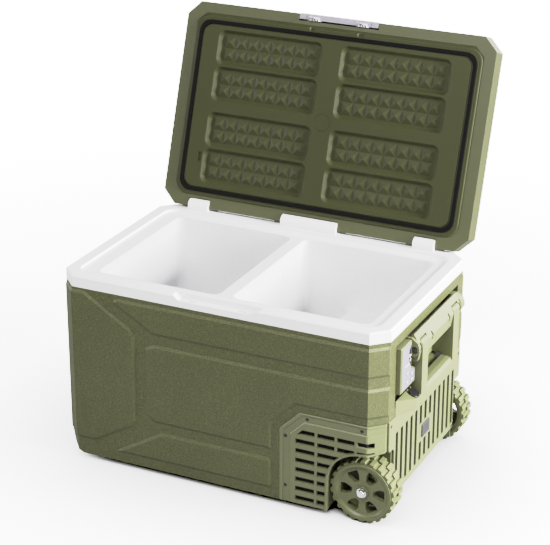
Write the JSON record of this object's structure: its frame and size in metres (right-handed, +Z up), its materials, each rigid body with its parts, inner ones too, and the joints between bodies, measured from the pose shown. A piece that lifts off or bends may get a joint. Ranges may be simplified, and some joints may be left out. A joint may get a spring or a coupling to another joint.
{
  "type": "compressor cooler fridge",
  "caption": "Wheeled compressor cooler box with a hinged lid, twin compartments, a vented machinery bay and swing grips at both ends.",
  "frame": {"origin": "on the floor, under the centre of the body", "axes": "+X along the length towards the wheels and the control panel, +Y towards the lid hinges, +Z up"},
  "size_m": [0.6648, 0.546, 0.7333],
  "materials": {
    "olive_shell": "fine grained moulding",
    "olive_cover": "satin moulding",
    "white_moulding": "satin white",
    "liner_white": "smooth",
    "seal_rubber": "soft matt",
    "grey_trim": "satin",
    "black_plastic": "gloss",
    "wheel_plastic": "satin moulding",
    "bright_steel": "satin",
    "black_steel": "satin black",
    "galvanised": "dull",
    "bare_aluminium": "mill",
    "copper": "bright",
    "pu_foam": "open",
    "circuit_green": "solder mask",
    "lamp_white": "translucent"
  },
  "bodies": {
    "cabinet": {"outer_shell": "olive_shell", "rim_collar": "white_moulding", "inner_liner": "liner_white", "drain_plug": "liner_white", "interior_lamp": "lamp_white", "evaporator_plate": "bare_aluminium", "insulation_foam": "pu_foam", "front_vent_cover": "olive_cover", "rear_vent_cover": "olive_cover", "end_grille_panel": "olive_cover", "blank_badge": "grey_trim", "cover_screws": "black_steel", "chassis_plate": "galvanised", "front_axle": "bright_steel", "rear_axle": "bright_steel", "front_washer": "bright_steel", "rear_washer": "bright_steel", "front_axle_cap": "bright_steel", "rear_axle_cap": "bright_steel", "rubber_feet": "seal_rubber", "tow_grip_frame": "olive_cover", "left_grip_frame": "olive_cover", "control_pod": "olive_cover", "control_fascia": "grey_trim", "display_lens": "black_plastic", "display_board": "circuit_green", "power_inlet": "black_plastic", "inlet_cap_pin": "bright_steel", "compressor": "black_steel", "compressor_mounts": "seal_rubber", "mount_bolts": "bright_steel", "condenser": "bare_aluminium", "filter_drier": "copper", "control_board": "circuit_green", "fan_frame": "black_plastic"},
    "lid": {"lid_shell": "olive_shell", "lid_hinge_pins": "bright_steel", "lid_panel": "olive_shell", "foam_fill_plug": "olive_shell", "lid_gasket": "seal_rubber", "lid_foam": "pu_foam", "latch_pin": "bright_steel"},
    "latch": {"lid_latch": "grey_trim"},
    "tow_grip": {"tow_grip_bar": "olive_cover", "tow_grip_pins": "bright_steel"},
    "left_grip": {"left_grip_bar": "olive_cover", "left_grip_pins": "bright_steel"},
    "front_wheel": {"front_wheel_rim": "wheel_plastic", "front_wheel_tyre": "wheel_plastic"},
    "rear_wheel": {"rear_wheel_rim": "wheel_plastic", "rear_wheel_tyre": "wheel_plastic"},
    "fan": {"fan_rotor": "black_plastic"},
    "power_key": {"power_button": "grey_trim"},
    "set_key": {"set_button": "grey_trim"},
    "up_key": {"up_button": "grey_trim"},
    "down_key": {"down_button": "grey_trim"},
    "inlet_flap": {"inlet_cap": "black_plastic"}
  },
  "joints": [
    {"name": "lid_hinge", "type": "hinge", "parent": "cabinet", "child": "lid", "pos_m": [0, 0.189, 0.366], "axis": [1, 0, 0], "range_deg": [0, 108.7]},
    {"name": "latch_swing", "type": "hinge", "parent": "lid", "child": "latch", "pos_m": [0, 0.33406, 0.7166], "axis": [-1, 0, 0], "range_deg": [0, 52], "stiffness_Nm_per_rad": 0.05, "springref_deg": -34.38},
    {"name": "tow_grip_hinge", "type": "hinge", "parent": "cabinet", "child": "tow_grip", "pos_m": [0.323, 0.008, 0.299], "axis": [0, -1, 0], "range_deg": [0, 90]},
    {"name": "left_grip_hinge", "type": "hinge", "parent": "cabinet", "child": "left_grip", "pos_m": [-0.323, 0, 0.299], "axis": [0, 1, 0], "range_deg": [0, 90]},
    {"name": "front_wheel_spin", "type": "hinge", "parent": "cabinet", "child": "front_wheel", "pos_m": [0.272, -0.17, 0.0585], "axis": [0, 1, 0], "continuous": true},
    {"name": "rear_wheel_spin", "type": "hinge", "parent": "cabinet", "child": "rear_wheel", "pos_m": [0.272, 0.17, 0.0585], "axis": [0, 1, 0], "continuous": true},
    {"name": "fan_spin", "type": "hinge", "parent": "cabinet", "child": "fan", "pos_m": [0.289, 0, 0.08], "axis": [1, 0, 0], "continuous": true},
    {"name": "inlet_flap_hinge", "type": "hinge", "parent": "cabinet", "child": "inlet_flap", "pos_m": [0.31231, -0.091, 0.21939], "axis": [0, -1, 0], "range_deg": [0, 50]},
    {"name": "power_key_press", "type": "slide", "parent": "cabinet", "child": "power_key", "axis": [-1, 0, 0], "range_m": [0, 0.0008], "stiffness_N_per_m": 500, "springref_m": -0.001},
    {"name": "set_key_press", "type": "slide", "parent": "cabinet", "child": "set_key", "axis": [-1, 0, 0], "range_m": [0, 0.0008], "stiffness_N_per_m": 500, "springref_m": -0.001},
    {"name": "up_key_press", "type": "slide", "parent": "cabinet", "child": "up_key", "axis": [-1, 0, 0], "range_m": [0, 0.0008], "stiffness_N_per_m": 500, "springref_m": -0.001},
    {"name": "down_key_press", "type": "slide", "parent": "cabinet", "child": "down_key", "axis": [-1, 0, 0], "range_m": [0, 0.0008], "stiffness_N_per_m": 500, "springref_m": -0.001}
  ]
}
